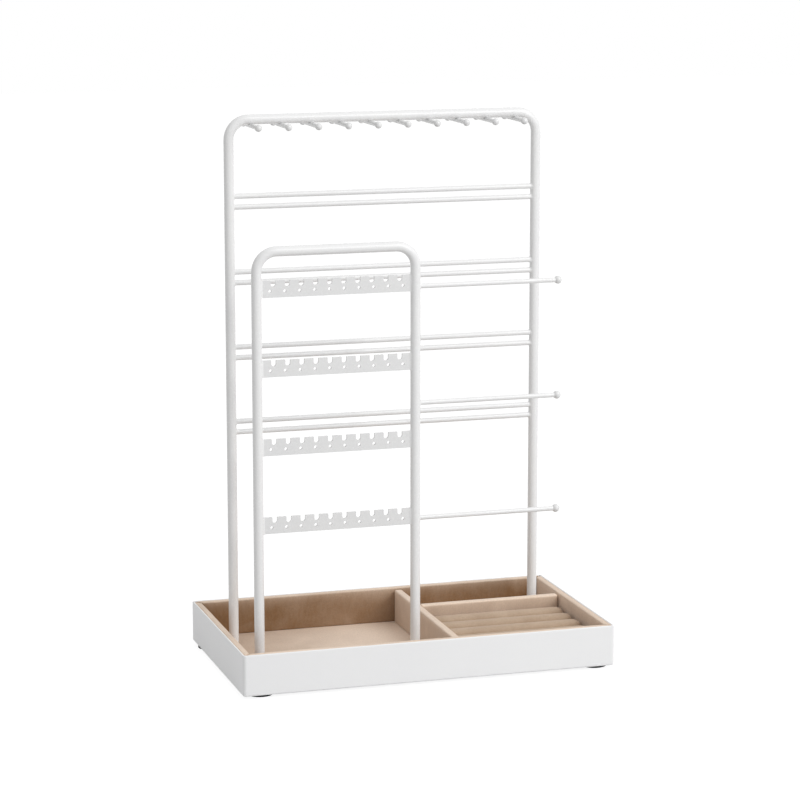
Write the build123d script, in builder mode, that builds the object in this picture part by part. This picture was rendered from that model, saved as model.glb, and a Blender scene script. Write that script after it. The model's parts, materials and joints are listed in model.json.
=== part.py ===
from build123d import *
import os

# Desk jewellery stand: a lined tray that carries two frames of bent steel tube.
# Millimetres, +X to the right, +Y to the back, +Z up.
# The origin is on the table, under the middle of the tray.

# Tray shell
tray_length = 270.0
tray_depth = 154.0
shell_height = 29.0
shell_wall = 1.5
shell_floor = 1.5
shell_corner = 2.5
shell_lip_round = 0.6
shell_heel_round = 1.2

# Rubber feet, stuck on by hand: the front left one sits a little further in
foot_diameter = 19.0
foot_height = 2.5
foot_chamfer = 0.6
foot_inset_x = 10.7
foot_inset_y = 14.6
front_left_foot_shift = 4.3

# Velvet-covered boards that line and divide the tray
floor_board_thickness = 1.8
liner_thickness = 4.5
liner_round = 1.0
liner_below_lip = 0.2
divider_thickness = 6.0
divider_round = 1.3
divider_corner = 2.0
divider_below_lip = 1.2
divider_offset = 19.9
divider_end_gap = 0.8
cross_offset = 23.3
cross_end_gap = 1.3

# Ring cushion, a loose insert in front of the cross divider
insert_clearance = 0.5
insert_rest_gap = 0.3
ring_base_thickness = 2.5
ring_base_corner = 1.0
ring_roll_count = 5
ring_roll_gap = 0.4
ring_roll_height = 15.3
ring_roll_waist = 1.2
ring_roll_end_round = 4.0

# Tube shared by both frames
tube_diameter = 7.0
tube_bore = 5.0
tube_bend = 14.0
weld_gap = 0.05

# Back frame: pegs under its top bar and pairs of rails between its legs
leg_inset = 21.6
frame_spacing = 75.0
back_leg_height = 378.6
rail_diameter = 3.8
rail_pair_spacing = 7.6
rail_pitch = 53.4
rail_pairs = 4
peg_rod_diameter = 3.2
peg_ball_diameter = 5.0
peg_neck_round = 5.0
peg_reach = 21.3
peg_sink = 0.7
peg_end_margin = 16.2
peg_count = 10

# Front frame: slotted earring strips between its legs, bracelet bars beside it
front_leg_gap = 13.8
front_leg_height = 295.8
strip_height = 11.7
strip_thickness = 1.8
strip_drop = 19.8
strip_pitch = 54.8
strip_count = 4
slot_width = 3.5
slot_depth = 4.2
slot_end_margin = 11.5
hole_diameter = 2.2
hole_drop = 7.3
hole_end_margin = 9.25
earring_count = 10
bar_diameter = 3.4
bar_ball_diameter = 5.6
bar_ball_seat = 2.0
bar_reach = 103.5
bar_drop = 28.1
bar_pitch = 81.8
bar_count = 3

# Fixings: a screw from below into a threaded plug in the foot of each leg
screw_diameter = 4.0
screw_length = 11.5
screw_clearance = 0.4
screw_head_diameter = 8.0
screw_head_height = 1.3
screw_head_chamfer = 0.5
washer_diameter = 9.0
washer_thickness = 0.5
drive_width = 2.5
drive_depth = 0.8
thread_clearance = 0.1
plug_length = 12.0
plug_clearance = 0.1

# Levels and places that follow from the sizes above
lip_z = foot_height + shell_height
shell_floor_z = foot_height + shell_floor
floor_z = shell_floor_z + floor_board_thickness
inner_length = tray_length - 2 * shell_wall
inner_depth = tray_depth - 2 * shell_wall
inner_corner = shell_corner - shell_wall
room_right = inner_length / 2 - liner_thickness
room_back = inner_depth / 2 - liner_thickness
divider_left = divider_offset - divider_thickness / 2
divider_right = divider_offset + divider_thickness / 2
divider_top = lip_z - divider_below_lip
cross_front = cross_offset - divider_thickness / 2
back_y = frame_spacing / 2
front_y = -frame_spacing / 2
left_leg_x = leg_inset - tray_length / 2
back_right_leg_x = tray_length / 2 - leg_inset
front_right_leg_x = divider_left - front_leg_gap - tube_diameter / 2
back_top_z = floor_z + back_leg_height
front_top_z = floor_z + front_leg_height
back_span = back_right_leg_x - left_leg_x
front_span = front_right_leg_x - left_leg_x
peg_pitch = (back_span - 2 * peg_end_margin) / (peg_count - 1)
slot_pitch = (front_span - 2 * slot_end_margin) / (earring_count - 1)
hole_pitch = (front_span - 2 * hole_end_margin) / (earring_count - 1)
leg_feet = (
    (left_leg_x, front_y),
    (front_right_leg_x, front_y),
    (left_leg_x, back_y),
    (back_right_leg_x, back_y),
)

os.makedirs("parts", exist_ok=True)


def keep(piece, name):
    """Label a finished piece and write its STEP file."""
    piece.part.label = name
    export_step(piece.part, f"parts/{name}.step")


def leg_seats(centres, level):
    """The round seats that legs cut into a rod or strip welded between them."""
    with BuildPart() as seats:
        with BuildSketch(Plane.XY.offset(level)):
            with Locations(*centres):
                Circle(tube_diameter / 2 + weld_gap)
        extrude(amount=strip_height + weld_gap, both=True)
    return seats.part


# Tray shell: a thin open box with a rounded lip and heel
with BuildPart() as tray_shell:
    with BuildSketch(Plane.XY.offset(foot_height)):
        RectangleRounded(tray_length, tray_depth, shell_corner)
    extrude(amount=shell_height)
    fillet(tray_shell.edges().group_by(Axis.Z)[0], radius=shell_heel_round)
    with BuildSketch(Plane.XY.offset(shell_floor_z)):
        RectangleRounded(inner_length, inner_depth, inner_corner)
    extrude(amount=shell_height, mode=Mode.SUBTRACT)
    fillet(tray_shell.edges().group_by(Axis.Z)[-1], radius=shell_lip_round)
    with BuildSketch(Plane.XY.offset(foot_height)):
        with Locations(*leg_feet):
            Circle((screw_diameter + screw_clearance) / 2)
    extrude(amount=shell_floor, mode=Mode.SUBTRACT)
keep(tray_shell, "tray_shell")


# Floor board: covered in velvet, lies on the shell's floor under everything else
with BuildPart() as floor_board:
    with BuildSketch(Plane.XY.offset(shell_floor_z)):
        RectangleRounded(inner_length, inner_depth, inner_corner)
        with Locations(*leg_feet):
            Circle((screw_diameter + screw_clearance) / 2, mode=Mode.SUBTRACT)
    extrude(amount=floor_board_thickness)
keep(floor_board, "floor_board")


def liner_board(side, half_run, half_across):
    """A wall liner with mitred ends and a round inner rim, standing along one side.

    half_run is half the board's outer length, and half_across is how far its outer
    face stands from the middle of the tray. side turns it round the tray.
    """
    tip = half_run - inner_corner
    inset = half_run - liner_thickness
    with BuildPart() as board:
        with BuildSketch(Plane.XY.offset(floor_z).rotated((0, 0, side))):
            with BuildLine():
                Polyline(
                    (-tip, half_across),
                    (tip, half_across),
                    (tip, half_across - inner_corner),
                    (inset, half_across - liner_thickness),
                    (-inset, half_across - liner_thickness),
                    (-tip, half_across - inner_corner),
                    close=True,
                )
            make_face()
        extrude(amount=lip_z - liner_below_lip - floor_z)
        along = Axis.X if side in (0, 180) else Axis.Y
        rims = board.edges().filter_by(along).group_by(Axis.Z)[-1]
        fillet(rims.sort_by(SortBy.LENGTH)[0], radius=liner_round)
    return board


keep(liner_board(0, inner_length / 2, inner_depth / 2), "liner_back")
keep(liner_board(180, inner_length / 2, inner_depth / 2), "liner_front")
keep(liner_board(90, inner_depth / 2, inner_length / 2), "liner_left")
keep(liner_board(270, inner_depth / 2, inner_length / 2), "liner_right")


def divider_board(plane, start, end):
    """An upright board with a rounded top edge and a round top corner at its free end.

    plane carries the board's side profile through its middle, from start to end.
    """
    height = divider_top - floor_z
    with BuildPart() as board:
        with BuildSketch(plane) as profile:
            with Locations(((start + end) / 2, floor_z)):
                Rectangle(end - start, height, align=(Align.CENTER, Align.MIN))
            free_corner = profile.vertices().group_by(Axis.Y)[-1].sort_by(Axis.X)[-1]
            fillet(free_corner, radius=divider_corner)
        extrude(amount=divider_thickness / 2, both=True)
        sides = board.faces().filter_by(Axis(plane.origin, plane.z_dir))
        rims = sides.edges().filter_by(lambda rim: rim.center().Z > floor_z + height / 2)
        fillet(rims.filter_by(Axis.Z, reverse=True), radius=divider_round)
    return board


along_tray = Plane.YZ.offset(divider_offset)
across_tray = Plane.XZ.offset(-cross_offset)
keep(divider_board(along_tray, -room_back, room_back - divider_end_gap), "long_divider")
keep(divider_board(across_tray, divider_right, room_right - cross_end_gap), "cross_divider")


# Ring cushion: a base board and a row of foam rolls, lifted out as one insert
insert_left = divider_right + insert_clearance
insert_right = room_right - insert_clearance
insert_front = -room_back + insert_clearance
insert_back = cross_front - insert_clearance
ring_base_top = floor_z + insert_rest_gap + ring_base_thickness
ring_roll_pitch = (insert_back - insert_front) / ring_roll_count
ring_roll_width = ring_roll_pitch - ring_roll_gap
ring_roll_crown = ring_roll_width / 2

with BuildPart() as ring_base:
    with BuildSketch(Plane.XY.offset(floor_z + insert_rest_gap)):
        with Locations(((insert_left + insert_right) / 2, (insert_front + insert_back) / 2)):
            RectangleRounded(
                insert_right - insert_left, insert_back - insert_front, ring_base_corner
            )
    extrude(amount=ring_base_thickness)
keep(ring_base, "ring_base")


def ring_roll(middle_y):
    """A foam roll: round crown, sides drawn in towards the base, rounded ends."""
    side_height = ring_roll_height - ring_roll_crown
    foot = ring_roll_crown - ring_roll_waist
    end_plane = Plane((insert_left, middle_y, ring_base_top), x_dir=(0, 1, 0), z_dir=(1, 0, 0))
    with BuildPart() as roll:
        with BuildSketch(end_plane):
            with BuildLine():
                base = Line((-foot, 0), (foot, 0))
                TangentArc((ring_roll_crown, side_height), base @ 1, tangent=(0, -1))
                CenterArc((0, side_height), ring_roll_crown, 0, 180)
                TangentArc((-ring_roll_crown, side_height), base @ 0, tangent=(0, -1))
            make_face()
        extrude(amount=insert_right - insert_left)
        rims = roll.faces().filter_by(Axis.X).edges()
        fillet(rims.filter_by(Axis.Y, reverse=True), radius=ring_roll_end_round)
    return roll


for index in range(ring_roll_count):
    middle_y = insert_front + (index + 0.5) * ring_roll_pitch
    keep(ring_roll(middle_y), f"ring_roll_{index + 1}")


def rubber_foot(x, y):
    """A round rubber foot stuck under the shell, with a bevelled tread."""
    with BuildPart() as foot:
        with BuildSketch():
            with Locations((x, y)):
                Circle(foot_diameter / 2)
        extrude(amount=foot_height)
        chamfer(foot.edges().group_by(Axis.Z)[0], length=foot_chamfer)
    return foot


foot_x = tray_length / 2 - foot_inset_x
foot_y = tray_depth / 2 - foot_inset_y
keep(rubber_foot(front_left_foot_shift - foot_x, -foot_y), "foot_front_left")
keep(rubber_foot(foot_x, -foot_y), "foot_front_right")
keep(rubber_foot(-foot_x, foot_y), "foot_back_left")
keep(rubber_foot(foot_x, foot_y), "foot_back_right")


def tube_hoop(right_leg_x, plane_y, top_z):
    """An upside-down U of round tube, standing on the floor board, open at its feet."""
    with BuildPart() as hoop:
        with BuildLine(Plane.XZ.offset(-plane_y)) as route:
            FilletPolyline(
                (left_leg_x, floor_z),
                (left_leg_x, top_z),
                (right_leg_x, top_z),
                (right_leg_x, floor_z),
                radius=tube_bend,
            )
        with BuildSketch(Plane(route.line @ 0, z_dir=route.line % 0)):
            Circle(tube_diameter / 2)
            Circle(tube_bore / 2, mode=Mode.SUBTRACT)
        sweep(path=route.line)
    return hoop


keep(tube_hoop(back_right_leg_x, back_y, back_top_z), "back_hoop")
keep(tube_hoop(front_right_leg_x, front_y, front_top_z), "front_hoop")


def rail(level):
    """A straight rod between the legs of the back frame, with both ends coped."""
    with BuildPart() as rod:
        with BuildSketch(Plane.YZ.offset(left_leg_x)):
            with Locations((back_y, level)):
                Circle(rail_diameter / 2)
        extrude(amount=back_span)
        legs = ((left_leg_x, back_y), (back_right_leg_x, back_y))
        add(leg_seats(legs, level), mode=Mode.SUBTRACT)
    return rod


for pair in range(rail_pairs):
    upper_level = back_top_z - (pair + 1) * rail_pitch
    keep(rail(upper_level), f"rail_{pair + 1}_upper")
    keep(rail(upper_level - rail_pair_spacing), f"rail_{pair + 1}_lower")


def hook_peg(x):
    """A turned peg with a ball at each end, seated in a saddle under the top bar."""
    peg_z = back_top_z - tube_diameter / 2 - peg_rod_diameter / 2 + peg_sink
    with BuildPart() as peg:
        with BuildSketch(Plane.YZ.offset(x)):
            with Locations((back_y, peg_z)):
                Rectangle(2 * peg_reach, peg_rod_diameter)
            with Locations((back_y - peg_reach, peg_z), (back_y + peg_reach, peg_z)):
                Circle(peg_ball_diameter / 2)
            split(bisect_by=Plane.XZ.offset(-peg_z), keep=Keep.TOP)
        revolve(axis=Axis((x, back_y, peg_z), (0, 1, 0)))
        balls = peg.faces().filter_by(GeomType.SPHERE)
        fillet(balls.edges().filter_by(GeomType.CIRCLE), radius=peg_neck_round)
        with BuildSketch(Plane.YZ.offset(x)):
            with Locations((back_y, back_top_z)):
                Circle(tube_diameter / 2 + weld_gap)
        extrude(amount=peg_ball_diameter, both=True, mode=Mode.SUBTRACT)
    return peg


peg_middle_x = (left_leg_x + back_right_leg_x) / 2
for index in range(peg_count):
    peg_x = peg_middle_x + (index - (peg_count - 1) / 2) * peg_pitch
    keep(hook_peg(peg_x), f"peg_{index + 1}")


def earring_strip(top_edge_z):
    """A flat strip with open-topped slots and a row of small holes below them."""
    middle_x = (left_leg_x + front_right_leg_x) / 2
    with BuildPart() as strip:
        with BuildSketch(Plane.XZ.offset(-front_y)):
            with Locations((middle_x, top_edge_z)):
                Rectangle(front_span, strip_height, align=(Align.CENTER, Align.MAX))
                with GridLocations(slot_pitch, 1, earring_count, 1):
                    SlotOverall(2 * slot_depth, slot_width, rotation=90, mode=Mode.SUBTRACT)
            with Locations((middle_x, top_edge_z - hole_drop)):
                with GridLocations(hole_pitch, 1, earring_count, 1):
                    Circle(hole_diameter / 2, mode=Mode.SUBTRACT)
        extrude(amount=strip_thickness / 2, both=True)
        legs = ((left_leg_x, front_y), (front_right_leg_x, front_y))
        add(leg_seats(legs, top_edge_z), mode=Mode.SUBTRACT)
    return strip


for index in range(strip_count):
    top_edge_z = front_top_z - strip_drop - index * strip_pitch
    keep(earring_strip(top_edge_z), f"earring_strip_{index + 1}")


def bracelet_bar(level):
    """A rod welded to the right leg of the front frame, reaching out to its ball."""
    with BuildPart() as bar:
        with BuildSketch(Plane.YZ.offset(front_right_leg_x)):
            with Locations((front_y, level)):
                Circle(bar_diameter / 2)
        extrude(amount=bar_reach)
        add(leg_seats(((front_right_leg_x, front_y),), level), mode=Mode.SUBTRACT)
    return bar


def bar_ball(level):
    """The ball on a bracelet bar, with a blind seat that takes the bar's end."""
    ball_x = front_right_leg_x + bar_reach + bar_ball_diameter / 2 - bar_ball_seat
    with BuildPart() as ball:
        with Locations((ball_x, front_y, level)):
            Sphere(bar_ball_diameter / 2)
        with BuildSketch(Plane.YZ.offset(front_right_leg_x + bar_reach)):
            with Locations((front_y, level)):
                Circle(bar_diameter / 2 + weld_gap)
        extrude(amount=-bar_ball_diameter, mode=Mode.SUBTRACT)
    return ball


for index in range(bar_count):
    bar_level = front_top_z - bar_drop - index * bar_pitch
    keep(bracelet_bar(bar_level), f"bracelet_bar_{index + 1}")
    keep(bar_ball(bar_level), f"bar_ball_{index + 1}")


# Fixings under the four legs
washer_z = foot_height - washer_thickness

with BuildPart() as leg_screws:
    with BuildSketch(Plane.XY.offset(washer_z)):
        with Locations(*leg_feet):
            Circle(screw_diameter / 2)
    extrude(amount=screw_length)
    with BuildSketch(Plane.XY.offset(washer_z - screw_head_height)):
        with Locations(*leg_feet):
            Circle(screw_head_diameter / 2)
    extrude(amount=screw_head_height)
    chamfer(leg_screws.edges().group_by(Axis.Z)[0], length=screw_head_chamfer)
    with BuildSketch(Plane.XY.offset(washer_z - screw_head_height)):
        with Locations(*leg_feet):
            RegularPolygon(drive_width / 2, 6, major_radius=False)
    extrude(amount=drive_depth, mode=Mode.SUBTRACT)
keep(leg_screws, "leg_screws")

with BuildPart() as leg_washers:
    with BuildSketch(Plane.XY.offset(washer_z)):
        with Locations(*leg_feet):
            Circle(washer_diameter / 2)
            Circle((screw_diameter + screw_clearance) / 2, mode=Mode.SUBTRACT)
    extrude(amount=washer_thickness)
keep(leg_washers, "leg_washers")

with BuildPart() as leg_plugs:
    with BuildSketch(Plane.XY.offset(floor_z)):
        with Locations(*leg_feet):
            Circle(tube_bore / 2 - plug_clearance)
            Circle(screw_diameter / 2 + thread_clearance, mode=Mode.SUBTRACT)
    extrude(amount=plug_length)
keep(leg_plugs, "leg_plugs")
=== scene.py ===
# %% [markdown]
# # A white jewelry stand with a velvet-lined tray
#
# The real stand is a thin white tray on four rubber feet. Two frames of bent steel tube
# stand in it and carry rods, pegs, slotted strips and bars. Velvet-covered boards line
# and divide the tray, and a cushion of five velvet rolls fills one room.
#
# The CAD model already has the true rigid shapes, so this lesson keeps the metal and
# the shell as they are and gives them finishes. It models anew what CAD only stands in
# for: the velvet boards, the stuffed rolls, the feet and the small runs of weld.

import json

import bpy
import numpy as np
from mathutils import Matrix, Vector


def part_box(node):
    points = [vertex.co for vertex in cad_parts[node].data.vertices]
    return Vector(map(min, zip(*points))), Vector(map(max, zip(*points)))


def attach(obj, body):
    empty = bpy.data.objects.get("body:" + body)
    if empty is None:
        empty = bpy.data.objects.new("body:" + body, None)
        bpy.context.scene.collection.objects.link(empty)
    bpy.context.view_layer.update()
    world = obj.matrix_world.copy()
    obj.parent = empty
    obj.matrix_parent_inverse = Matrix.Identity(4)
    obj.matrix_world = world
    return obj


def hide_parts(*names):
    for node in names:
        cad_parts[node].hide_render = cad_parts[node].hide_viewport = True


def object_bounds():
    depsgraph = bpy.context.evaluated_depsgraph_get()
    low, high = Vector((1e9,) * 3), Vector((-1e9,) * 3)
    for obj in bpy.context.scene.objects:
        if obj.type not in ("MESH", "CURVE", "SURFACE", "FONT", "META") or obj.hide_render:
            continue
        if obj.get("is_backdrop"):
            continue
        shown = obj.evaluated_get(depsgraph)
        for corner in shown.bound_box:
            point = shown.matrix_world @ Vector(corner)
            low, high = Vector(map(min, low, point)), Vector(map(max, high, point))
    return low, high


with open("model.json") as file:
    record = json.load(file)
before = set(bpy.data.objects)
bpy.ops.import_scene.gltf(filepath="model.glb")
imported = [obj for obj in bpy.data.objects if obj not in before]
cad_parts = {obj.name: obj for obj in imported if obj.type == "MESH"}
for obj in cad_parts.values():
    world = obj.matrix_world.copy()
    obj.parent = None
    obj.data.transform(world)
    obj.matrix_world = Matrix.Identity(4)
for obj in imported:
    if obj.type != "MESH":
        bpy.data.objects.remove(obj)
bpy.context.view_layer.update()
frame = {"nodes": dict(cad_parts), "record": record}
nodes = frame["nodes"]

# %% [markdown]
# ## Colours and nodes
#
# A colour is easiest to write as a hex code read off a screen, which is sRGB. Shaders
# work in linear light, so one function turns every code. A material is a small graph,
# and one function adds a node, sets its sockets and joins it to the ones before it.

# %% Colour and node helpers
def linear(code):
    """An sRGB hex code as linear light: a straight line at the dark end, then a power."""
    share = np.array([int(code[k : k + 2], 16) for k in (1, 3, 5)]) / 255
    light = np.where(share <= 0.04045, share / 12.92, ((share + 0.055) / 1.055) ** 2.4)
    return (*light.tolist(), 1.0)


def add(tree, kind, sockets=None, **settings):
    """A new node. A socket's value is another node's output to join, or a plain value."""
    made = tree.nodes.new(kind)
    for key, value in settings.items():
        setattr(made, key, value)
    for key, value in (sockets or {}).items():
        if isinstance(value, bpy.types.NodeSocket):
            tree.links.new(value, made.inputs[key])
        else:
            made.inputs[key].default_value = value
    return made


def new_material(name):
    """An empty node material, its tree, and a place in the object's own millimetres."""
    material = bpy.data.materials.new(name)
    material.use_nodes = True
    tree = material.node_tree
    tree.nodes.clear()
    place = add(tree, "ShaderNodeTexCoord").outputs["Object"]
    in_mm = add(
        tree, "ShaderNodeVectorMath", {0: place, "Scale": 1000.0}, operation="SCALE"
    )
    return material, tree, in_mm.outputs[0]


print("white in linear light:", [round(v, 3) for v in linear("#F2F2F2")])

# %% [markdown]
# ## Powder-coated steel
#
# The frames are steel tube sprayed with dry paint and baked. The paint flows a little
# as it melts, which leaves shallow waves a millimetre or so across, called orange peel.
# To the eye that gives a satin highlight with a soft, slightly uneven edge. A clear coat
# over a plain colour would look wet, so one shader is used, whose roughness and bump
# both follow the waves. The strips, pegs and small balls get a greyer copy of the same
# coat, which is painted shade.

# %% Powder coat
peel_mm = 1.3
drift_mm = 40


def powder_coat(name, thin, thick):
    """White baked powder paint: waves of orange peel, and a slow, faint drift of tone."""
    material, tree, in_mm = new_material(name)
    peel = add(
        tree,
        "ShaderNodeTexNoise",
        {"Vector": in_mm, "Scale": 1 / peel_mm, "Detail": 2.0},
    )
    drift = add(
        tree,
        "ShaderNodeTexNoise",
        {"Vector": in_mm, "Scale": 1 / drift_mm, "Detail": 2.0},
    )
    tone = add(
        tree,
        "ShaderNodeMix",
        {0: drift.outputs["Fac"], 6: linear(thin), 7: linear(thick)},
        data_type="RGBA",
    )
    gloss = add(
        tree,
        "ShaderNodeMapRange",
        {"Value": peel.outputs["Fac"], "To Min": 0.20, "To Max": 0.32},
    )
    bump = add(
        tree,
        "ShaderNodeBump",
        {"Height": peel.outputs["Fac"], "Strength": 0.35, "Distance": 0.00002},
    )
    coat = add(
        tree,
        "ShaderNodeBsdfPrincipled",
        {
            "Base Color": tone.outputs[2],
            "Roughness": gloss.outputs[0],
            "Normal": bump.outputs[0],
            "IOR": 1.5,
        },
    )
    add(tree, "ShaderNodeOutputMaterial", {"Surface": coat.outputs[0]})
    return material


coated_steel = powder_coat("powder_coated_steel", "#ECECED", "#F0F0EF")
# A greyer copy of the same coat: painted shade for the strips, pegs and small balls.
shaded_steel_coat = powder_coat("powder_coat_painted_shade", "#E3E3E4", "#E7E7E6")
print("finishes made:", coated_steel.name, shaded_steel_coat.name)

# %% [markdown]
# ## Moulded tray shell
#
# The shell is satin white plastic from a finely etched mould. The etching is a grit of
# about a third of a millimetre. It is too fine to see as grain from a step away and
# shows as an even, soft sheen, so it is drawn at half a millimetre. Thick plastic also
# cools unevenly, and slow swells in its tone keep the broad faces from looking flat.

# %% Satin plastic
grit_mm = 0.5
swell_mm = 55


def satin_plastic():
    """White ABS from an etched mould: fine grit in the gloss over slow swells of tone."""
    material, tree, in_mm = new_material("moulded_satin_abs")
    grit = add(
        tree,
        "ShaderNodeTexNoise",
        {"Vector": in_mm, "Scale": 1 / grit_mm, "Detail": 3.0},
    )
    swell = add(
        tree,
        "ShaderNodeTexNoise",
        {"Vector": in_mm, "Scale": 1 / swell_mm, "Detail": 1.0},
    )
    tone = add(
        tree,
        "ShaderNodeMix",
        {0: swell.outputs["Fac"], 6: linear("#F1F1F2"), 7: linear("#F5F5F5")},
        data_type="RGBA",
    )
    gloss = add(
        tree,
        "ShaderNodeMapRange",
        {"Value": grit.outputs["Fac"], "To Min": 0.36, "To Max": 0.50},
    )
    bump = add(
        tree,
        "ShaderNodeBump",
        {"Height": grit.outputs["Fac"], "Strength": 0.2, "Distance": 0.00003},
    )
    plastic = add(
        tree,
        "ShaderNodeBsdfPrincipled",
        {
            "Base Color": tone.outputs[2],
            "Roughness": gloss.outputs[0],
            "Normal": bump.outputs[0],
            "IOR": 1.53,
        },
    )
    add(tree, "ShaderNodeOutputMaterial", {"Surface": plastic.outputs[0]})
    return material


shell_plastic = satin_plastic()
print("finish made:", shell_plastic.name)

# %% [markdown]
# ## Velvet
#
# Velvet is a woven ground with a dense pile that stands up from it. Where the pile leans
# away from the eye, one looks down between the hairs and meets shade. Where it leans
# towards the eye or is spread over an edge, one meets lit hair tips and the cloth turns
# pale. So each mesh point carries a number from 0 for a painted shade colour to 1 for a
# painted lit colour, and it leads from one colour to the other. This is painted light and
# shade, set for each board and height, and the pile's lean is part of its cause. Strokes
# of a hand shift it in patches a few centimetres wide, and the pile's rows show as short
# streaks two millimetres apart. The tufts are finer than a render shows, and are drawn at
# just under a millimetre. At a slant the shader's sheen adds the light that grazes the
# tips.

# %% How the pile leans, and the painted light and shade
stroke_mm = 24
streak_wide_mm, streak_high_mm = 2.2, 6
stroke_share = 0.30
streak_share = 0.10
mean_share = 0.20


def pile_lean_and_light(tree, in_mm):
    """From 0 for painted shade to 1 for painted lit tips: the stored number, plus the
    strokes and the streaks times their shares, less the mean of both."""
    lean_and_light = add(tree, "ShaderNodeAttribute", attribute_name="lean_and_light").outputs["Fac"]
    strokes = add(
        tree,
        "ShaderNodeTexNoise",
        {"Vector": in_mm, "Scale": 1 / stroke_mm, "Detail": 2.0, "Distortion": 0.6},
    )
    stretched = add(
        tree,
        "ShaderNodeVectorMath",
        {0: in_mm, 1: (1 / streak_wide_mm, 1 / streak_wide_mm, 1 / streak_high_mm)},
        operation="MULTIPLY",
    )
    streaks = add(
        tree, "ShaderNodeTexNoise", {"Vector": stretched.outputs[0], "Scale": 1.0}
    )
    stroked = add(
        tree,
        "ShaderNodeMath",
        {0: strokes.outputs["Fac"], 1: stroke_share, 2: lean_and_light},
        operation="MULTIPLY_ADD",
    )
    streaked = add(
        tree,
        "ShaderNodeMath",
        {0: streaks.outputs["Fac"], 1: streak_share, 2: stroked.outputs[0]},
        operation="MULTIPLY_ADD",
    )
    lean_and_light_sum = add(
        tree,
        "ShaderNodeMath",
        {0: streaked.outputs[0], 1: mean_share},
        operation="SUBTRACT",
        use_clamp=True,
    )
    return lean_and_light_sum.outputs[0]


print("strokes of", stroke_mm, "mm, and streaks", streak_wide_mm, "mm wide")

# %% Velvet
tuft_mm = 0.85


def velvet(name, shade_colour, lit_colour, glow):
    """Beige pile: the first colour is painted shade, as between the hairs, and the second
    painted light, as on lit hair ends.

    The lean and the painted light mix the two, and the tufts then lighten or darken the
    mix.
    """
    material, tree, in_mm = new_material(name)
    tone = add(
        tree,
        "ShaderNodeMix",
        {0: pile_lean_and_light(tree, in_mm), 6: linear(shade_colour), 7: linear(lit_colour)},
        data_type="RGBA",
    )
    tufts = add(
        tree,
        "ShaderNodeTexNoise",
        {"Vector": in_mm, "Scale": 1 / tuft_mm, "Detail": 4.0, "Roughness": 0.7},
    )
    speckle = add(
        tree,
        "ShaderNodeMapRange",
        {"Value": tufts.outputs["Fac"], "To Min": 0.72, "To Max": 1.28},
    )
    pile = add(
        tree,
        "ShaderNodeVectorMath",
        {0: tone.outputs[2], "Scale": speckle.outputs[0]},
        operation="SCALE",
    )
    bump = add(
        tree,
        "ShaderNodeBump",
        {"Height": tufts.outputs["Fac"], "Strength": 0.4, "Distance": 0.00012},
    )
    cloth = add(
        tree,
        "ShaderNodeBsdfPrincipled",
        {
            "Base Color": pile.outputs[0],
            "Roughness": 0.95,
            "Normal": bump.outputs[0],
            "Specular IOR Level": 0.1,
            "Sheen Weight": glow,
            "Sheen Roughness": 0.4,
            "Sheen Tint": linear("#EFDFD2"),
        },
    )
    add(tree, "ShaderNodeOutputMaterial", {"Surface": cloth.outputs[0]})
    return material


# Each velvet mixes a painted shade colour with a painted lit colour.
board_velvet = velvet("beige_board_velvet", "#8A6A4C", "#EFDBC8", 0.6)
roll_velvet = velvet("beige_roll_velvet", "#8A6E56", "#E8D3BC", 0.6)
print("finishes made:", board_velvet.name, roll_velvet.name)

# %% [markdown]
# ## Rubber and zinc
#
# The feet are black moulded rubber, dull, with a dust-fine grain. The screws, washers
# and plugs are steel with a thin zinc plating, which is bluish grey and a little cloudy
# where the crystals of the plating differ. One flat tone would make both look like
# paint, so the rubber gets its grain and the plating its clouds.

# %% Rubber and zinc plating
grain_mm = 0.4
cloud_mm = 3


def moulded_rubber():
    """Black rubber: a fine grain and a broad, weak highlight."""
    material, tree, in_mm = new_material("moulded_rubber")
    grain = add(
        tree,
        "ShaderNodeTexNoise",
        {"Vector": in_mm, "Scale": 1 / grain_mm, "Detail": 2.0},
    )
    tone = add(
        tree,
        "ShaderNodeMix",
        {0: grain.outputs["Fac"], 6: linear("#060606"), 7: linear("#0C0C0C")},
        data_type="RGBA",
    )
    bump = add(
        tree,
        "ShaderNodeBump",
        {"Height": grain.outputs["Fac"], "Strength": 0.4, "Distance": 0.00008},
    )
    rubber = add(
        tree,
        "ShaderNodeBsdfPrincipled",
        {
            "Base Color": tone.outputs[2],
            "Roughness": 0.8,
            "Normal": bump.outputs[0],
            "IOR": 1.52,
            "Specular IOR Level": 0.15,
        },
    )
    add(tree, "ShaderNodeOutputMaterial", {"Surface": rubber.outputs[0]})
    return material


def zinc_plating():
    """Bright zinc on steel: small clouds in tone and roughness."""
    material, tree, in_mm = new_material("zinc_plated_steel")
    clouds = add(
        tree,
        "ShaderNodeTexNoise",
        {"Vector": in_mm, "Scale": 1 / cloud_mm, "Detail": 3.0},
    )
    tone = add(
        tree,
        "ShaderNodeMix",
        {0: clouds.outputs["Fac"], 6: linear("#B9BFC6"), 7: linear("#D2D4D4")},
        data_type="RGBA",
    )
    gloss = add(
        tree,
        "ShaderNodeMapRange",
        {"Value": clouds.outputs["Fac"], "To Min": 0.25, "To Max": 0.45},
    )
    metal = add(
        tree,
        "ShaderNodeBsdfPrincipled",
        {
            "Base Color": tone.outputs[2],
            "Metallic": 1.0,
            "Roughness": gloss.outputs[0],
        },
    )
    add(tree, "ShaderNodeOutputMaterial", {"Surface": metal.outputs[0]})
    return material


foot_rubber = moulded_rubber()
plated_steel = zinc_plating()
print("finishes made:", foot_rubber.name, plated_steel.name)
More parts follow.
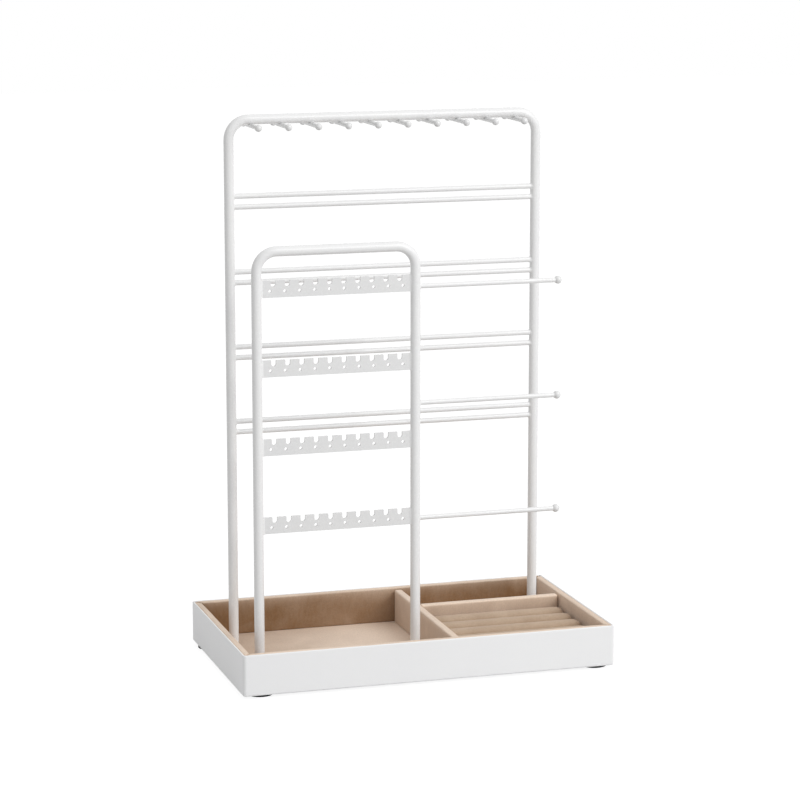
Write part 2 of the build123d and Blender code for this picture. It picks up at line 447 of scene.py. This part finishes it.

# %% [markdown]
# ## Finishes on the CAD pieces
#
# Every rigid CAD piece keeps its shape and takes the finish of its real counterpart.
# The record says which material slot each node belongs to, so a short table from slot
# to finish dresses them all. Only the strips, pegs and small balls leave the table, for
# the greyer copy of the coat, which is painted shade.

# %% Dress the CAD pieces
finish_of_slot = {
    "white_shell": shell_plastic,
    "white_steel": coated_steel,
    "board_velvet": board_velvet,
    "roll_velvet": roll_velvet,
    "black_rubber": foot_rubber,
    "zinc_steel": plated_steel,
}
slot_of_node = {row["node"]: row["material_slot"] for row in frame["record"]["subparts"]}
# These pieces take the greyer coat, which is painted shade.
shaded_coat_pieces = ("earring_strip", "peg", "bar_ball")
for name, piece in nodes.items():
    finish = finish_of_slot[slot_of_node[name]]
    if name.startswith(shaded_coat_pieces):
        finish = shaded_steel_coat
    for holder in piece.material_slots:
        holder.material = finish
print("CAD pieces dressed:", len(nodes))

# %% [markdown]
# ## New pieces
#
# A new piece is a table of points and a table of faces worked out with numpy. That puts
# every point where a formula says, which edit tools would only come near. The piece
# takes its finish from the record's slot, rides on a body of the CAD model, and hides
# the CAD nodes it stands for.

# %% Make a piece from points and faces
def set_lean_and_light(mesh, lean_and_light):
    """Store the pile's lean and painted light, a number for each point, for the velvet."""
    mesh.attributes.new("lean_and_light", "FLOAT", "POINT").data.foreach_set("value", lean_and_light)


def make_piece(name, points, faces, slot, body="stand", stands_for=(), lean_and_light=None):
    """A mesh piece from an array of points and a list of faces."""
    mesh = bpy.data.meshes.new(name)
    mesh.from_pydata(points.tolist(), [], faces)
    mesh.validate()
    mesh.polygons.foreach_set("use_smooth", np.ones(len(mesh.polygons), bool))
    mesh.materials.append(finish_of_slot[slot])
    if lean_and_light is not None:
        set_lean_and_light(mesh, lean_and_light)
    piece = bpy.data.objects.new(name, mesh)
    bpy.context.scene.collection.objects.link(piece)
    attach(piece, body)
    if stands_for:
        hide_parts(*stands_for)


def strip_of_rings(rings, closed_along):
    """Quads between neighbouring rings. rings holds point numbers, one ring a row."""
    following = np.roll(rings, -1, axis=0) if closed_along else rings[1:]
    start = rings if closed_along else rings[:-1]
    beside = np.roll(start, -1, axis=1)
    across = np.roll(following, -1, axis=1)
    return np.stack([start, beside, across, following], axis=-1).reshape(-1, 4)


# %% [markdown]
# ## Velvet boards
#
# The walls and dividers are stiff boards wrapped in velvet. The cloth rounds every
# edge off, swells a little between the edges and dips where it is tucked into a mitre.
# A bevelled box would give only an even round. Here a block's skin is cut by planes
# that lie close together near its edges, and each point is sent onto a rounded block,
# so the swell and the tucks can be added point by point.

# %% The skin of a block
crowd = np.array([0.0, 0.08, 0.2, 0.38, 0.65])
least_middle = 2.2


def graded(start, end, fine, step):
    """Places from start to end, crowded within fine of both ends and step apart between.

    On a short run fine shrinks to the run over 2.2, so that some middle is left.
    """
    fine = min(fine, (end - start) / least_middle)
    count = max(2, int(np.ceil((end - start - 2 * fine) / step)) + 1)
    middle = np.linspace(start + fine, end - fine, count)
    return np.concatenate([start + fine * crowd, middle, end - fine * crowd[::-1]])


def block_skin(xs, ys, zs):
    """The outer points of a grid of planes, and the outward quads between them."""
    shape = (len(xs), len(ys), len(zs))
    i, j, k = np.indices(shape)
    outer = np.zeros(shape, bool)
    for index, count in zip((i, j, k), shape):
        outer |= index % (count - 1) == 0
    number = np.full(shape, -1)
    number[outer] = np.arange(outer.sum())
    points = np.stack([xs[i], ys[j], zs[k]], axis=-1)[outer]

    def quads(layer, turn):
        corners = [layer[:-1, :-1], layer[1:, :-1], layer[1:, 1:], layer[:-1, 1:]]
        return np.stack(corners[::turn], axis=-1).reshape(-1, 4)

    faces = [
        quads(number[-1], 1),
        quads(number[0], -1),
        quads(number[:, 0], 1),
        quads(number[:, -1], -1),
        quads(number[:, :, -1], 1),
        quads(number[:, :, 0], -1),
    ]
    return points, np.concatenate(faces).tolist()


test_points, test_faces = block_skin(*[graded(0, 1, 0.2, 0.1)] * 3)
print("a test block has", len(test_points), "points and", len(test_faces), "quads")

# %% Round a block and let its cloth swell
tiny = 1e-9
wave_count = 6


def rounded(points, low, high, round_low, round_high):
    """Points of a block sent onto a rounded one, and the way that each one faces.

    The core is the block less its rounds. A point's way from the core is divided by
    the rounds along x, y and z, brought to length one, and multiplied by them again.
    """
    core = np.clip(points, low + round_low, high - round_high)
    away = points - core
    rounds = np.where(away < 0, round_low, round_high)
    share = away / rounds
    share /= np.maximum(np.linalg.norm(share, axis=1, keepdims=True), tiny)
    facing = share / rounds
    facing /= np.maximum(np.linalg.norm(facing, axis=1, keepdims=True), tiny)
    return core + share * rounds, facing


def uneven(points, wave, seed):
    """Slow unevenness of cloth from -1 to 1: the mean of sine waves in random ways."""
    rng = np.random.default_rng(seed)
    ways = rng.normal(size=(wave_count, 3))
    ways /= np.linalg.norm(ways, axis=1, keepdims=True) * wave / (2 * np.pi)
    starts = rng.uniform(0, 2 * np.pi, wave_count)
    return np.sin(points @ ways.T + starts).mean(axis=1)


print("unevenness at three points:", uneven(np.eye(3), 1.0, 1).round(2).tolist())

# %% [markdown]
# ## Wall liners
#
# Four boards line the tray's walls and meet in mitres. Each is built lying along its
# wall: the first number is the place along the wall, the second the depth from the
# wall, the third the height. The ends are then cut back by the depth, which makes the
# mitre, and the cloth dips towards the mitre's crease. Each wall gets its own painted
# level of light and shade. Just under the rim the velvet is painted paler, which is a
# painted highlight.

# %% A board along a wall
wall_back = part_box("liner_back")
wall_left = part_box("liner_left")
liner_thickness = wall_back[1].y - wall_back[0].y
liner_low, liner_high = wall_back[0].z, wall_back[1].z
outer_round = np.array([0.0002, 0.0008, 0.0008])
inner_round = np.array([0.0002, 0.0010, 0.0010])
liner_fine = (0.006, 0.0018, 0.0018)
liner_step = (0.003, 0.0008, 0.002)
liner_swell = 0.0001
liner_wave = 0.03
turned_away = 0.5
crease_width = 0.00003
tuck_depth = 0.00015
tuck_reach = 0.0010
# The rim and the few millimetres under it are painted pale: a painted highlight.
rim_highlight = 0.90
rim_light_gain = 0.42
rim_light_depth = 0.004


def wall_liner(name, node, run_length, outer, along, out, light_levels, seed):
    """A velvet board along one wall, mitred at both ends. along and out are unit ways.

    The tuck fades with the distance to the mitre as a falling exponential. So does the
    painted highlight under the rim, with the depth under it. The light levels are pairs
    of a place along the wall and the face's painted light and shade there. Where the
    surface turns upwards, the value goes over to the rim's painted highlight.
    """
    low = np.array([-run_length / 2, 0.0, liner_low])
    high = np.array([run_length / 2, liner_thickness, liner_high])
    cuts = [graded(*run) for run in zip(low, high, liner_fine, liner_step)]
    skin, faces = block_skin(*cuts)
    points, facing = rounded(skin, low, high, outer_round, inner_round)
    to_end = run_length / 2 - points[:, 1] - np.abs(points[:, 0])
    tuck = tuck_depth * np.exp(-np.clip(to_end, 0, None) / tuck_reach)
    swell = liner_swell * (1 + uneven(points, liner_wave, seed))
    off_ends = np.abs(facing[:, 0]) < turned_away
    off_wall = facing[:, 1] > -turned_away
    points += facing * ((swell - tuck) * off_ends * off_wall)[:, None]
    points[:, 0] *= 1 - (points[:, 1] + crease_width) / (run_length / 2)
    place = points[:, :1] * along + (outer - points[:, 1:2]) * out
    place[:, 2] = points[:, 2]
    # Painted light and shade: a level along the wall, and a painted highlight under the
    # rim and on upward faces.
    face_light = np.interp(points[:, 0], *zip(*light_levels))
    face_light += rim_light_gain * np.exp((points[:, 2] - liner_high) / rim_light_depth)
    lean_and_light = face_light + (rim_highlight - face_light) * np.clip(facing[:, 2], 0, 1)
    make_piece(name, place, faces, "board_velvet", stands_for=(node,), lean_and_light=lean_and_light)


print("liner thickness in mm:", round(liner_thickness * 1000, 2))

# %% Line the four walls
run_x, out_y = wall_back[1].x - wall_back[0].x, wall_back[1].y
run_y, out_x = wall_left[1].y - wall_left[0].y, -wall_left[0].x
x_way, y_way, _ = np.eye(3)
divider_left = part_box("long_divider")[0].x
# Painted light and shade on each wall. The back wall is darkest at its left end and right
# of the long divider, where shade falls. The right wall is painted pale, and the front and
# left walls are even.
back_light_levels = (-0.12, 0.0), (divider_left, 0.14), (divider_left + 0.005, 0.0)
even_light_levels = ((0.0, 0.45),)
right_light_levels = (-0.07, 0.86), (0.07, 0.68)
for side, run, reach, along, out, light_levels, seed in (
    ("back", run_x, out_y, x_way, y_way, back_light_levels, 11),
    ("front", run_x, out_y, -x_way, -y_way, even_light_levels, 12),
    ("left", run_y, out_x, y_way, -x_way, even_light_levels, 13),
    ("right", run_y, out_x, -y_way, x_way, right_light_levels, 14),
):
    name, node = f"wall_liner_{side}", f"liner_{side}"
    wall_liner(name, node, run, reach, along, out, light_levels, seed)
print("liners in mm:", round(run_x * 1000, 1), "and", round(run_y * 1000, 1), "long")

# %% [markdown]
# ## Dividers and floor
#
# The dividers are the same wrapped boards, standing free. The cloth rounds their top
# edges off. Their tops and a few millimetres below are painted pale: a painted highlight
# and sheen where the pile spreads over the edge. The floor board and the base of the ring
# rolls are thin, and their cloth lies almost flat. The floor is painted paler towards the
# right, which is painted light where the long divider's shadow falls. All four fill a
# node's box, so one function makes them all.

# %% A board with free edges
# A painted highlight that fades below a board's top.
edge_light_gain = 0.3
edge_light_depth = 0.0022
board_wave = 0.028
past_round = 1.3


def free_board(name, node, rounds, steps, swell, light_levels, slot, body, seed):
    """A wrapped board in its node's box, one swell within it, so that none stands out.

    rounds are those of its low and high sides. The light levels are the painted light and
    shade of its upright faces and of its top at the left and right. Below the top a
    painted highlight fades with the depth as a falling exponential.
    """
    low, high = (np.array(corner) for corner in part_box(node))
    cuts = [
        graded(a, b, past_round * max(p, q), step)
        for a, b, p, q, step in zip(low, high, *rounds, steps)
    ]
    skin, faces = block_skin(*cuts)
    points, facing = rounded(skin, low, high, *np.array(rounds))
    points += facing * (swell * uneven(points, board_wave, seed) - swell)[:, None]
    # Painted light and shade: pale tops, and a painted highlight under them.
    top_highlight = np.interp(points[:, 0], [low[0], high[0]], light_levels[1:])
    face_light = light_levels[0] + edge_light_gain * np.exp((points[:, 2] - high[2]) / edge_light_depth)
    lean_and_light = face_light + (top_highlight - face_light) * np.clip(facing[:, 2], 0, 1)
    make_piece(name, points, faces, slot, body, (node,), lean_and_light)


print("the pale edge fades over mm:", edge_light_depth * 1000)

# %% The two dividers
# Painted shade on the dividers' upright faces and a painted highlight on their tops.
free_board(
    "long_divider_velvet",
    "long_divider",
    rounds=((0.0014, 0.0004, 0.0004), (0.0014, 0.0020, 0.0014)),
    steps=(0.0009, 0.003, 0.002),
    swell=0.00010,
    light_levels=(0.61, 0.95, 0.95),
    slot="board_velvet",
    body="stand",
    seed=21,
)
free_board(
    "cross_divider_velvet",
    "cross_divider",
    rounds=((0.0006, 0.0014, 0.0004), (0.0010, 0.0014, 0.0014)),
    steps=(0.003, 0.0009, 0.002),
    swell=0.00010,
    light_levels=(0.57, 1.2, 1.2),
    slot="board_velvet",
    body="stand",
    seed=22,
)

# %% The floor board and the base of the rolls
# The floor is painted paler towards the right, which is painted light where the long
# divider's shadow falls.
free_board(
    "floor_velvet",
    "floor_board",
    rounds=((0.0005, 0.0005, 0.0003), (0.0005, 0.0005, 0.0005)),
    steps=(0.003, 0.003, 0.001),
    swell=0.00008,
    light_levels=(0.5, 0.34, 1.9),
    slot="board_velvet",
    body="stand",
    seed=23,
)
free_board(
    "ring_base_velvet",
    "ring_base",
    rounds=((0.0008, 0.0008, 0.0004), (0.0008, 0.0008, 0.0009)),
    steps=(0.003, 0.003, 0.001),
    swell=0.00008,
    light_levels=(0.5, 0.5, 0.5),
    slot="roll_velvet",
    body="ring_insert",
    seed=24,
)

# %% [markdown]
# ## Ring rolls
#
# Each roll is a bar of foam with velvet drawn over it, tucked in at both sides and at
# the ends. The section is a round crown on sides that draw in towards the base, and the
# ends pull in like a bolster's. A plain rounded bar would look hard, so each roll is
# started a little thin and blown up by a cloth simulation with its foot held, as a
# stuffed cover would be. No point may move further than a cap, so that the rolls stay
# clear of each other.

# %% The roll before it is stuffed
roll_thin = 0.0005
roll_end_draw = 0.0045
roll_step = 0.0022
ring_points = 44
foot_draw = 0.14
end_size = 0.55
end_bluntness = 0.45
centre_share = 0.42


def roll_skin(node):
    """A closed roll along x, as rows of points round it.

    The angle t runs round the section. The half width is the cosine of t to the power of
    0.6, which makes full sides, less a draw that grows towards the foot. The height is
    the sine of t, stretched below the middle and cut off at the base. Along the roll the
    section shrinks towards each end, to 0.55 of its size, as the sine of a quarter turn
    over the last few millimetres to the power of 0.45, which makes blunt ends.
    """
    low, high = (np.array(corner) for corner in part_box(node))
    half_width = (high[1] - low[1]) / 2 - roll_thin
    top = high[2] - roll_thin
    middle_z = high[2] - (high[1] - low[1]) / 2
    t = np.linspace(0, 2 * np.pi, ring_points, endpoint=False)
    y = half_width * np.cos(t)
    z = np.where(
        np.sin(t) > 0,
        middle_z + (top - middle_z) * np.sin(t),
        middle_z + (middle_z - low[2]) * np.sin(t) * (2 - np.abs(np.sin(t))) ** 0.5,
    )
    z = np.maximum(z, low[2])
    sunk = np.clip((middle_z - z) / (middle_z - low[2]), 0, 1)
    y = np.sign(y) * np.minimum(np.abs(y) ** 0.6 * half_width**0.4, half_width)
    y *= 1 - foot_draw * sunk**1.5
    x = graded(low[0] + roll_thin, high[0] - roll_thin, roll_end_draw, roll_step)
    to_end = np.minimum(x - x[0], x[-1] - x)
    share = np.clip(to_end / roll_end_draw, 0, 1)
    scale = np.maximum(np.sin(share * np.pi / 2), 0.0) ** end_bluntness
    scale = end_size + (1 - end_size) * scale
    middle_y = (low[1] + high[1]) / 2
    centre_z = low[2] + (top - low[2]) * centre_share
    rows = np.zeros((len(x), ring_points, 3))
    rows[:, :, 0] = x[:, None]
    rows[:, :, 1] = middle_y + y[None, :] * scale[:, None]
    rows[:, :, 2] = np.maximum(
        centre_z + (z[None, :] - centre_z) * scale[:, None], low[2]
    )
    return rows


def close_rows(rows):
    """Points and faces of a tube of rows whose two ends are closed by a middle point."""
    count, around = rows.shape[:2]
    number = np.arange(count * around).reshape(count, around)
    points = np.concatenate([rows.reshape(-1, 3), rows[[0, -1]].mean(axis=1)])
    quads = strip_of_rings(number, False)
    first, last = number[0], number[-1]
    caps = [
        np.stack([np.roll(first, -1), first, np.full(around, count * around)], axis=1),
        np.stack([last, np.roll(last, -1), np.full(around, count * around + 1)], axis=1),
    ]
    groups = (quads, *caps)
    return points, [face for group in groups for face in group[:, ::-1].tolist()]


print("a roll's grid:", roll_skin("ring_roll_1").shape)

# %% Stuff the rolls
voxel = 0.0016
held_height = 0.0016
pressure = 4.0
moments = 20
roll_cap = 0.0011
roll_reach = 0.0089
roll_spare = 0.0002
# Painted shade at each roll's foot, and painted light towards its crown.
foot_shade, crown_light_gain = 0.02, 0.46


def stuffed(name, node):
    """A roll's cover, blown up by cloth simulation with its foot held, and then capped.

    A point's move is kept up to the cap and cut to it beyond. Its painted light and
    shade is the foot's plus a gain times the square of its share of the height.
    """
    low, high = (np.array(corner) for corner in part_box(node))
    points, faces = close_rows(roll_skin(node))
    mesh = bpy.data.meshes.new(name)
    mesh.from_pydata(points.tolist(), [], faces)
    piece = bpy.data.objects.new(name, mesh)
    bpy.context.scene.collection.objects.link(piece)
    bpy.context.view_layer.objects.active = piece
    piece.select_set(True)
    remesh = piece.modifiers.new("even", "REMESH")
    remesh.mode = "VOXEL"
    remesh.voxel_size = voxel
    bpy.ops.object.modifier_apply(modifier="even")
    start = np.zeros(len(mesh.vertices) * 3)
    mesh.vertices.foreach_get("co", start)
    start = start.reshape(-1, 3)
    held = piece.vertex_groups.new(name="held")
    at_foot = np.flatnonzero(start[:, 2] < low[2] + held_height)
    held.add(at_foot.tolist(), 1.0, "REPLACE")
    cloth = piece.modifiers.new("stuffing", "CLOTH")
    cloth.settings.use_pressure = True
    cloth.settings.uniform_pressure_force = pressure
    cloth.settings.effector_weights.gravity = 0.0
    cloth.settings.vertex_group_mass = "held"
    cloth.settings.quality = 6
    for moment in range(1, moments + 1):
        bpy.context.scene.frame_set(moment)
    bpy.ops.object.modifier_apply(modifier="stuffing")
    bpy.context.scene.frame_set(1)
    end = np.zeros(len(mesh.vertices) * 3)
    mesh.vertices.foreach_get("co", end)
    move = end.reshape(-1, 3) - start
    far = np.linalg.norm(move, axis=1, keepdims=True)
    print(name, "moved up to mm:", round(float(far.max()) * 1000, 2))
    end = start + move * np.minimum(1, roll_cap / np.maximum(far, tiny))
    middle_y = (low[1] + high[1]) / 2
    end[:, 0] = np.clip(end[:, 0], low[0] - roll_spare, high[0] + roll_spare)
    end[:, 1] = np.clip(end[:, 1], middle_y - roll_reach, middle_y + roll_reach)
    end[:, 2] = np.maximum(end[:, 2], low[2])
    mesh.vertices.foreach_set("co", end.ravel())
    mesh.polygons.foreach_set("use_smooth", np.ones(len(mesh.polygons), bool))
    mesh.materials.append(finish_of_slot["roll_velvet"])
    # Painted light and shade: paler with the height.
    rise = np.clip((end[:, 2] - low[2]) / (high[2] - low[2]), 0, 1)
    set_lean_and_light(mesh, foot_shade + crown_light_gain * rise**2)
    finer = piece.modifiers.new("finer", "SUBSURF")
    finer.levels = finer.render_levels = 1
    piece.select_set(False)
    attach(piece, "ring_insert")
    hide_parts(node)


for k in range(1, 6):
    stuffed(f"ring_roll_{k}_cover", f"ring_roll_{k}")
print("rolls stuffed")

# %% [markdown]
# ## Rubber feet
#
# The feet are turned shapes, so a profile is spun round the foot's middle. A cylinder
# with a bevel would do for the side, but not for the underside, where a shallow dish
# lets the foot grip like a cup. The tread and the rim have small rounds.

# %% Spin the feet
foot_turns = 64
tread = 0.0002
rim = 0.0003
dish = 0.0004


def rubber_foot(node):
    """A profile of radius and height carried round the foot's axis in equal turns.

    It runs from the dish's middle over its edge, the tread's round and the rim's round,
    both quarter circles, to the middle of the top.
    """
    low, high = (np.array(corner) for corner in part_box(node))
    radius = (high[0] - low[0]) / 2
    height = high[2] - low[2]
    corner = np.linspace(0, np.pi / 2, 9)
    radii = np.concatenate(
        [
            [radius * 0.02, radius * 0.45, radius * 0.62, radius * 0.68],
            radius - tread + tread * np.sin(corner),
            radius - rim + rim * np.cos(corner),
            [radius * 0.5, radius * 0.02],
        ]
    )
    heights = np.concatenate(
        [
            [dish, dish, dish / 2, 0.0],
            tread - tread * np.cos(corner),
            height - rim + rim * np.sin(corner),
            [height, height],
        ]
    )
    turn = np.linspace(0, 2 * np.pi, foot_turns, endpoint=False)
    rows = np.zeros((len(radii), foot_turns, 3))
    rows[:, :, 0] = (low[0] + high[0]) / 2 + radii[:, None] * np.cos(turn)
    rows[:, :, 1] = (low[1] + high[1]) / 2 + radii[:, None] * np.sin(turn)
    rows[:, :, 2] = heights[:, None]
    return rows


for side in ("front_left", "front_right", "back_left", "back_right"):
    node = f"foot_{side}"
    points, faces = close_rows(rubber_foot(node))
    make_piece(f"rubber_foot_{side}", points, faces, "black_rubber", stands_for=(node,))
print("feet made, points on each:", len(points))

# %% [markdown]
# ## Welds
#
# Where a rod, strip or bar meets a leg, a small bead of weld fills the corner, and the
# paint softens it further. CAD leaves those corners sharp, and a bevel can't round a
# corner between two separate pieces. So each bead is a ring of its own, a hollow quarter
# round that follows the outline of the piece and sits on the leg's curve.

# %% Weld beads
bead_size = 0.0009
bead_dip = 0.0003
bead_steps = 7


def bead(outline, normals, leg_x, leg_y, level, leg_radius, way):
    """One closed ring of weld round a rod that lies along x and meets an upright leg.

    The outline is the rod's section in y and z. The profile starts on the leg, follows a
    hollow quarter circle onto the rod, and goes back inside the metal. The leg's surface
    is at the root of its radius squared less y squared.
    """
    t = np.linspace(0, np.pi / 2, bead_steps)
    hollow_off, hollow_along = bead_size * (1 - np.sin(t)), bead_size * (1 - np.cos(t))
    off = np.concatenate([hollow_off, [-bead_dip, -bead_dip, bead_size]])
    along = np.concatenate([hollow_along, [bead_size, -bead_dip, -bead_dip]])
    section = outline[None] + off[:, None, None] * normals[None]
    rows = np.zeros((len(off), len(outline), 3))
    rows[:, :, 1] = leg_y + section[:, :, 0]
    rows[:, :, 2] = level + section[:, :, 1]
    on_leg = np.sqrt(leg_radius**2 - section[:, :, 0] ** 2)
    rows[:, :, 0] = leg_x + way * (on_leg + along[:, None])
    return rows


print("a bead is", bead_size * 1000, "mm wide")

# %% What the beads follow
round_points = 28
corner_points = 5
strip_corner = 0.0003


def round_outline(radius):
    """A circle in y and z, the cosine and sine of equal turns, and its normals."""
    t = np.linspace(0, 2 * np.pi, round_points, endpoint=False)
    normals = np.stack([np.cos(t), np.sin(t)], axis=1)
    return radius * normals, normals


def plate_outline(half_thick, half_high, corner):
    """A rectangle in y and z with a quarter circle at each corner, and its normals."""
    t = np.linspace(0, np.pi / 2, corner_points)
    turns = np.concatenate([t + quarter * np.pi / 2 for quarter in range(4)])
    normals = np.stack([np.cos(turns), np.sin(turns)], axis=1)
    signs = np.array([(1, 1), (-1, 1), (-1, -1), (1, -1)]).repeat(corner_points, axis=0)
    middles = signs * np.array([half_thick - corner, half_high - corner])
    return middles + corner * normals, normals


def half_height(node):
    """Half the height of a node's box, which is a rod's radius."""
    low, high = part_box(node)
    return (high.z - low.z) / 2


def middle(node):
    """The middle of a node's box as three numbers."""
    low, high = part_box(node)
    return (low + high) / 2


back_low, back_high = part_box("back_hoop")
leg_radius = (back_high.y - back_low.y) / 2
left_leg_x = back_low.x + leg_radius
back_right_x = back_high.x - leg_radius
front_right_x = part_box("front_hoop")[1].x - leg_radius
back_y, front_y = middle("back_hoop").y, middle("front_hoop").y
print("leg radius in mm:", round(leg_radius * 1000, 2))

# %% Weld the rails, the strips and the bars
def weld(name, outline_of_node, leg_y, legs):
    """One piece from the beads at both ends, or one end, of several rods or strips.

    legs are pairs of a leg's middle and the way from it along x, 1 or -1. Each bead is a
    ring of rows closed both ways, and its faces are turned round where the way is -1.
    """
    points, faces = [], []
    total = 0
    for node, outline in outline_of_node.items():
        for leg_x, way in legs:
            rows = bead(*outline, leg_x, leg_y, middle(node).z, leg_radius, way)
            count, around = rows.shape[:2]
            number = total + np.arange(count * around).reshape(count, around)
            quads = strip_of_rings(number, True)
            faces.append(quads if way > 0 else quads[:, ::-1])
            points.append(rows.reshape(-1, 3))
            total += count * around
    make_piece(
        name, np.concatenate(points), np.concatenate(faces).tolist(), "white_steel"
    )
    print(name, "has beads:", len(points))


rail_outline = round_outline(half_height("rail_1_upper"))
rails = [f"rail_{k}_{kind}" for k in range(1, 5) for kind in ("upper", "lower")]
back_legs = (left_leg_x, 1), (back_right_x, -1)
weld("rail_welds", {rail: rail_outline for rail in rails}, back_y, back_legs)

strip_outlines = {}
for k in range(1, 5):
    low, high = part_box(f"earring_strip_{k}")
    strip_outlines[f"earring_strip_{k}"] = plate_outline(
        (high.y - low.y) / 2, (high.z - low.z) / 2, strip_corner
    )
front_legs = (left_leg_x, 1), (front_right_x, -1)
weld("strip_welds", strip_outlines, front_y, front_legs)

bar_outline = round_outline(half_height("bracelet_bar_1"))
bars = [f"bracelet_bar_{k}" for k in range(1, 4)]
weld("bar_welds", {bar: bar_outline for bar in bars}, front_y, ((front_right_x, 1),))

# %% [markdown]
# ## Camera
#
# The view was fitted to the edges of the tray and the frames: a long lens from the
# left front, about ten degrees above the horizon. The camera has no shift, so that it
# frames the stand from the other sides as well.

# %% Camera
view_down = 10.722
view_turn = 17.097
view_place = (-0.5871, -1.9086, 0.5650)
lens_mm = 129.42
camera_data = bpy.data.cameras.new("camera")
camera_data.lens = lens_mm
camera_data.sensor_width = 36.0
camera_data.clip_start = 0.05
camera_data.clip_end = 60.0
camera = bpy.data.objects.new("camera", camera_data)
camera.location = view_place
camera.rotation_euler = np.radians([90 - view_down, 0, -view_turn]).tolist()
bpy.context.scene.collection.objects.link(camera)
bpy.context.scene.camera = camera
print("camera at", [round(v, 3) for v in camera.location])

# %% [markdown]
# ## Studio
#
# A plain studio: a sky that lights from all round and more from above, one wide soft
# lamp from the right front, and a white floor. More light on the object would also
# whiten the background, but it would wash out the white paint. So only what the camera
# sees is changed: to it the sky is plain white, and the floor is nearly all its own
# light, with just enough matt paint for the object's soft shadow to show.

# %% Sky
scene = bpy.context.scene
scene.view_settings.view_transform = "Standard"
sky_low = 0.372
sky_high = 0.755


def seen_plainly(tree):
    """1 for rays from the camera, a glossy surface or through glass, and 0 for others."""
    seen = add(tree, "ShaderNodeLightPath")
    direct = add(
        tree,
        "ShaderNodeMath",
        {0: seen.outputs["Is Camera Ray"], 1: seen.outputs["Is Glossy Ray"]},
        operation="MAXIMUM",
    )
    plain = add(
        tree,
        "ShaderNodeMath",
        {0: direct.outputs[0], 1: seen.outputs["Is Transmission Ray"]},
        operation="MAXIMUM",
    )
    return plain.outputs[0]


world = bpy.data.worlds.new("studio_sky")
scene.world = world
world.use_nodes = True
tree = world.node_tree
tree.nodes.clear()
plain = seen_plainly(tree)
upward = add(
    tree,
    "ShaderNodeSeparateXYZ",
    {0: add(tree, "ShaderNodeTexCoord").outputs["Generated"]},
)
brighter = add(
    tree,
    "ShaderNodeMapRange",
    {"Value": upward.outputs["Z"], "To Min": sky_low, "To Max": sky_high},
)
glow = add(
    tree,
    "ShaderNodeBackground",
    {"Color": (1, 1, 1, 1), "Strength": brighter.outputs[0]},
)
white = add(tree, "ShaderNodeBackground", {"Color": (1, 1, 1, 1), "Strength": 1.0})
sky = add(
    tree, "ShaderNodeMixShader", {0: plain, 1: glow.outputs[0], 2: white.outputs[0]}
)
add(tree, "ShaderNodeOutputWorld", {"Surface": sky.outputs[0]})
print("sky from", sky_low, "below to", sky_high, "above")

# %% Lamp
key_power = 38.0
key_turn = 35.0
key_rise = 34.0
key_away = 2.6
key_size = 1.8
key_aim = np.array([0.0, 0.0, 0.17])
lamp_data = bpy.data.lights.new("key_lamp", "AREA")
lamp_data.shape = "SQUARE"
lamp_data.size = key_size
lamp_data.energy = key_power
lamp = bpy.data.objects.new("key_lamp", lamp_data)
turn, rise = np.radians([key_turn, key_rise])
toward = np.array(
    [np.sin(turn) * np.cos(rise), -np.cos(turn) * np.cos(rise), np.sin(rise)]
)
lamp.location = (key_aim + toward * key_away).tolist()
lamp.rotation_euler = (np.pi / 2 - rise, 0.0, turn)
scene.collection.objects.link(lamp)
print("lamp at", [round(v, 2) for v in lamp.location])

# %% Floor
floor_half = 5.0
own_light = 0.88
faint_paint = 0.26
corners = floor_half * np.array([(-1, -1, 0), (1, -1, 0), (1, 1, 0), (-1, 1, 0)])
floor_mesh = bpy.data.meshes.new("floor")
floor_mesh.from_pydata(corners.tolist(), [], [(0, 1, 2, 3)])
floor = bpy.data.objects.new("floor", floor_mesh)
scene.collection.objects.link(floor)
floor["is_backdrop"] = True

paint, tree, _ = new_material("matt_white_floor")
plain = seen_plainly(tree)
matt = add(tree, "ShaderNodeBsdfDiffuse", {"Color": linear("#D0D0D0")})
faint = add(
    tree, "ShaderNodeBsdfDiffuse", {"Color": (faint_paint, faint_paint, faint_paint, 1)}
)
own = add(tree, "ShaderNodeEmission", {"Color": (1, 1, 1, 1), "Strength": own_light})
lit = add(tree, "ShaderNodeAddShader", {0: faint.outputs[0], 1: own.outputs[0]})
both = add(
    tree, "ShaderNodeMixShader", {0: plain, 1: matt.outputs[0], 2: lit.outputs[0]}
)
add(tree, "ShaderNodeOutputMaterial", {"Surface": both.outputs[0]})
floor_mesh.materials.append(paint)
print("floor is", 2 * floor_half, "m wide")

# %% Print the size of what is drawn
low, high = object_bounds()
print("visual box in mm:", [round((b - a) * 1000, 1) for a, b in zip(low, high)])
